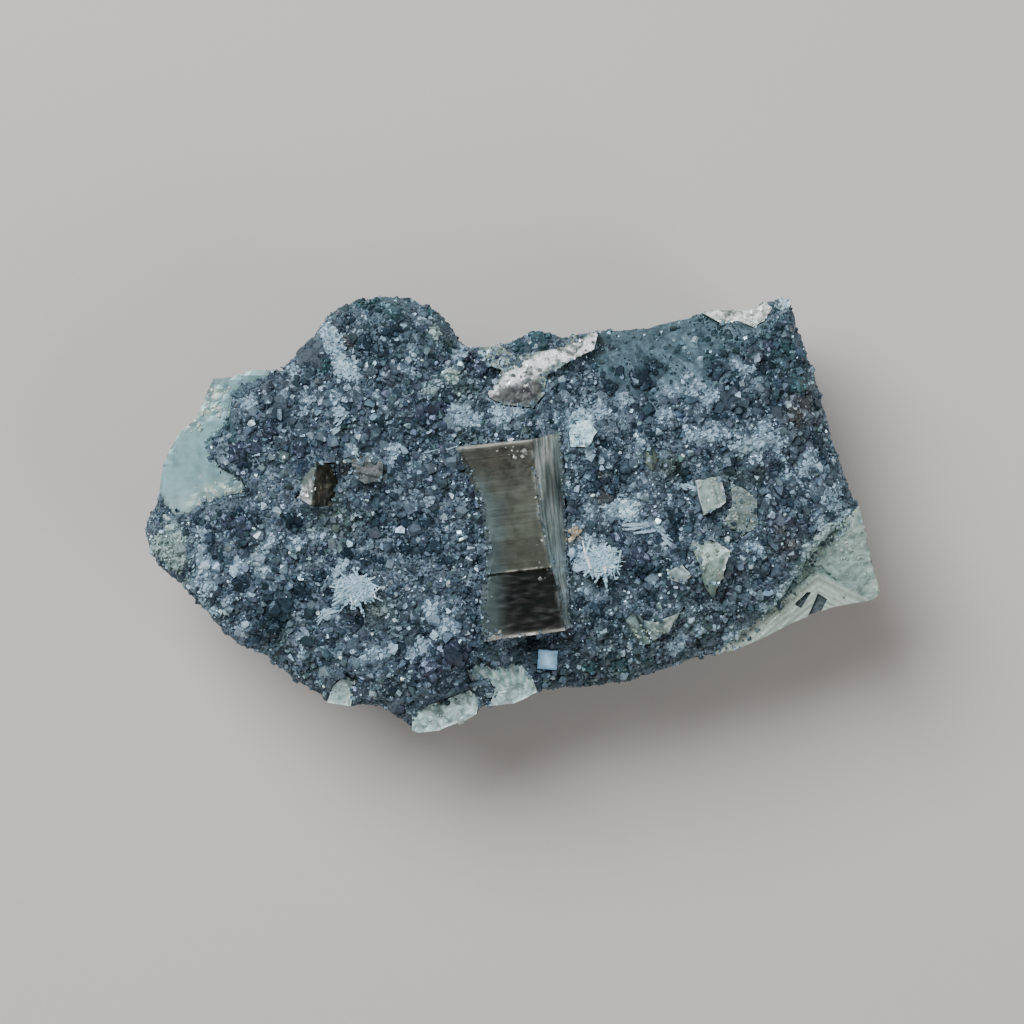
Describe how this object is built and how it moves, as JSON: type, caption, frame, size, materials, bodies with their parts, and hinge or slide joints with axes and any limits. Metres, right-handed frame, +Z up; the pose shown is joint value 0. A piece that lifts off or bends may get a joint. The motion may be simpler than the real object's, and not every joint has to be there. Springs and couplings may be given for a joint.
{
  "type": "pyrite specimen",
  "caption": "Flat-lying mineral specimen: a large striated pyrite crystal and smaller pyrite crystals in a slab of dark slate-blue crystal crust with white sprays.",
  "frame": {"origin": "on the resting plane, under the middle of the specimen's outline", "axes": "+X along its length towards the straight cut face, +Y across it towards the rounded lobe's side, +Z up out of the crystal-studded face"},
  "size_m": [0.0998, 0.0594, 0.0327],
  "materials": {
    "crust": "dark slate-blue crust of small glittering crystals, dusted pale in places",
    "dark_pyrite": "dark olive metallic crystal face with fine striations across it",
    "pale_pyrite": "pale grey-green metallic pyrite, smooth or finely striated",
    "bright_pyrite": "bright crumbly broken pyrite, pale gold to white",
    "white_crystal": "bluish-white matt bladed crystals",
    "tan_crystal": "dull tan crystal",
    "blue_crystal": "pale blue glassy crystal"
  },
  "bodies": {
    "root": {"crust_slab": "crust", "striated_pyrite_crystal": "dark_pyrite", "smooth_left_pyrite_crystal": "pale_pyrite", "chevron_corner_pyrite_crystal": "pale_pyrite", "broken_upper_pyrite_crystal": "bright_pyrite", "upper_edge_pyrite_crystal": "bright_pyrite", "fan_pyrite_crystal": "pale_pyrite", "lower_tip_pyrite_crystal": "pale_pyrite", "lower_left_pyrite_crystal": "pale_pyrite", "square_pyrite_crystal": "pale_pyrite", "dull_pyrite_crystal": "pale_pyrite", "wedge_pyrite_crystal": "pale_pyrite", "small_square_pyrite_crystal": "pale_pyrite", "forked_pyrite_crystal": "pale_pyrite", "spike_pyrite_crystal": "pale_pyrite", "ridged_pyrite_crystal": "bright_pyrite", "tan_block_crystal": "tan_crystal", "right_white_spray": "white_crystal", "left_white_spray": "white_crystal", "white_lump_crystal": "white_crystal", "pale_blue_cube_crystal": "blue_crystal"}
  },
  "joints": []
}
